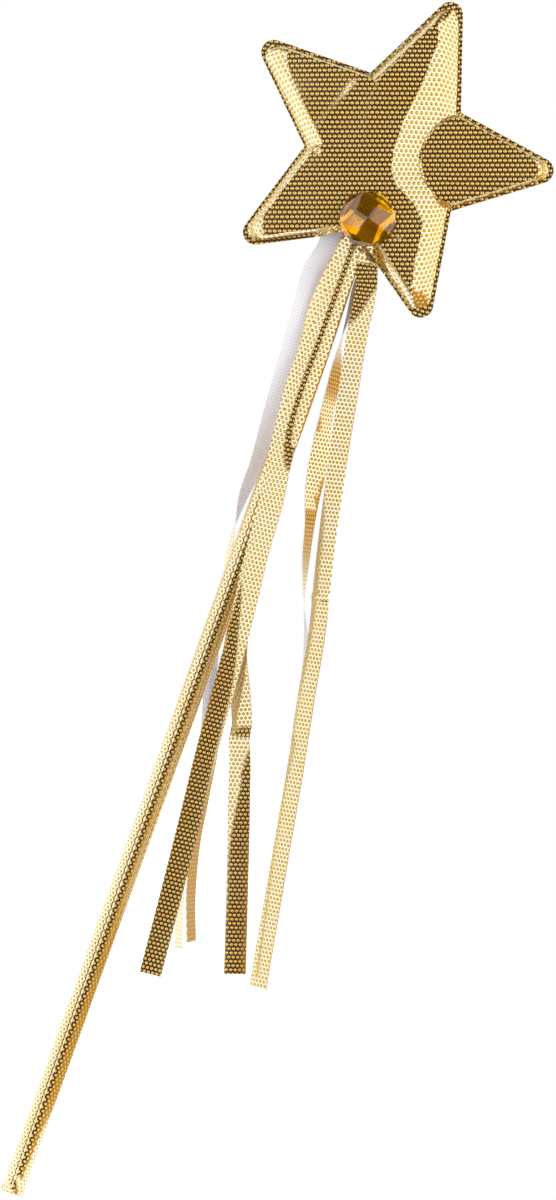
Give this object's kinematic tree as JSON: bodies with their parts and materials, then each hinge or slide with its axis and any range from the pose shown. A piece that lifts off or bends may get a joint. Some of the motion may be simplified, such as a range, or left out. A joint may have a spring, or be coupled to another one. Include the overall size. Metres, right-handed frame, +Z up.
{
  "type": "toy magic wand",
  "caption": "Toy magic wand with a padded gold star on a fabric-wrapped stick, a faceted amber gem over the joint and loose gold ribbons that swing beside the stick.",
  "frame": {"origin": "the butt of the stick, on its axis", "axes": "+Z up the stick to the star, -Y out of the star's front where the gem is, +X to the right as seen from the front"},
  "size_m": [0.089, 0.0222, 0.3503],
  "materials": {
    "foil_fabric": "metallic foil with raised dots",
    "ribbon_foil": "metallic foil with raised dots, white back",
    "tube_plastic": "plain",
    "foam": "soft padding",
    "gem_plastic": "clear amber, polished",
    "mirror_coat": "bright",
    "glue": "set hot glue"
  },
  "bodies": {
    "wand": {"stick_core": "tube_plastic", "stick_wrap": "foil_fabric", "stick_glue": "glue", "star_front_cover": "foil_fabric", "star_back_cover": "foil_fabric", "star_front_pad": "foam", "star_back_pad": "foam", "gem": "gem_plastic", "gem_foil": "mirror_coat", "gem_glue": "glue", "front_ribbon_root": "ribbon_foil", "middle_ribbon_root": "ribbon_foil", "right_ribbon_root": "ribbon_foil", "inner_ribbon_root": "ribbon_foil", "left_ribbon_root": "ribbon_foil", "back_ribbon_root": "ribbon_foil"},
    "front_ribbon": {"front_ribbon_tail": "ribbon_foil"},
    "middle_ribbon": {"middle_ribbon_tail": "ribbon_foil"},
    "right_ribbon": {"right_ribbon_tail": "ribbon_foil"},
    "inner_ribbon": {"inner_ribbon_tail": "ribbon_foil"},
    "left_ribbon": {"left_ribbon_tail": "ribbon_foil"},
    "back_ribbon": {"back_ribbon_tail": "ribbon_foil"}
  },
  "joints": [
    {"name": "middle_ribbon_swing", "type": "hinge", "parent": "wand", "child": "middle_ribbon", "pos_m": [-0.0012, -0.0042, 0.2762], "axis": [-1, 0, 0], "range_deg": [0, 45]},
    {"name": "front_ribbon_swing", "type": "hinge", "parent": "middle_ribbon", "child": "front_ribbon", "pos_m": [0, -0.0049, 0.2765], "axis": [-1, 0, 0], "range_deg": [0, 45]},
    {"name": "right_ribbon_swing", "type": "hinge", "parent": "wand", "child": "right_ribbon", "pos_m": [0.0052, -0.0042, 0.2745], "axis": [-0.6157, -0.788, 0], "range_deg": [0, 50]},
    {"name": "inner_ribbon_swing", "type": "hinge", "parent": "wand", "child": "inner_ribbon", "pos_m": [0.0052, 0.0012, 0.2752], "axis": [0.5, -0.866, 0], "range_deg": [0, 40]},
    {"name": "left_ribbon_swing", "type": "hinge", "parent": "wand", "child": "left_ribbon", "pos_m": [-0.0065, 0.0007, 0.2758], "axis": [0.9781, 0.2079, 0], "range_deg": [0, 75]},
    {"name": "back_ribbon_swing", "type": "hinge", "parent": "wand", "child": "back_ribbon", "pos_m": [0.0001, 0.0043, 0.2762], "axis": [1, 0, 0], "range_deg": [0, 75]}
  ]
}
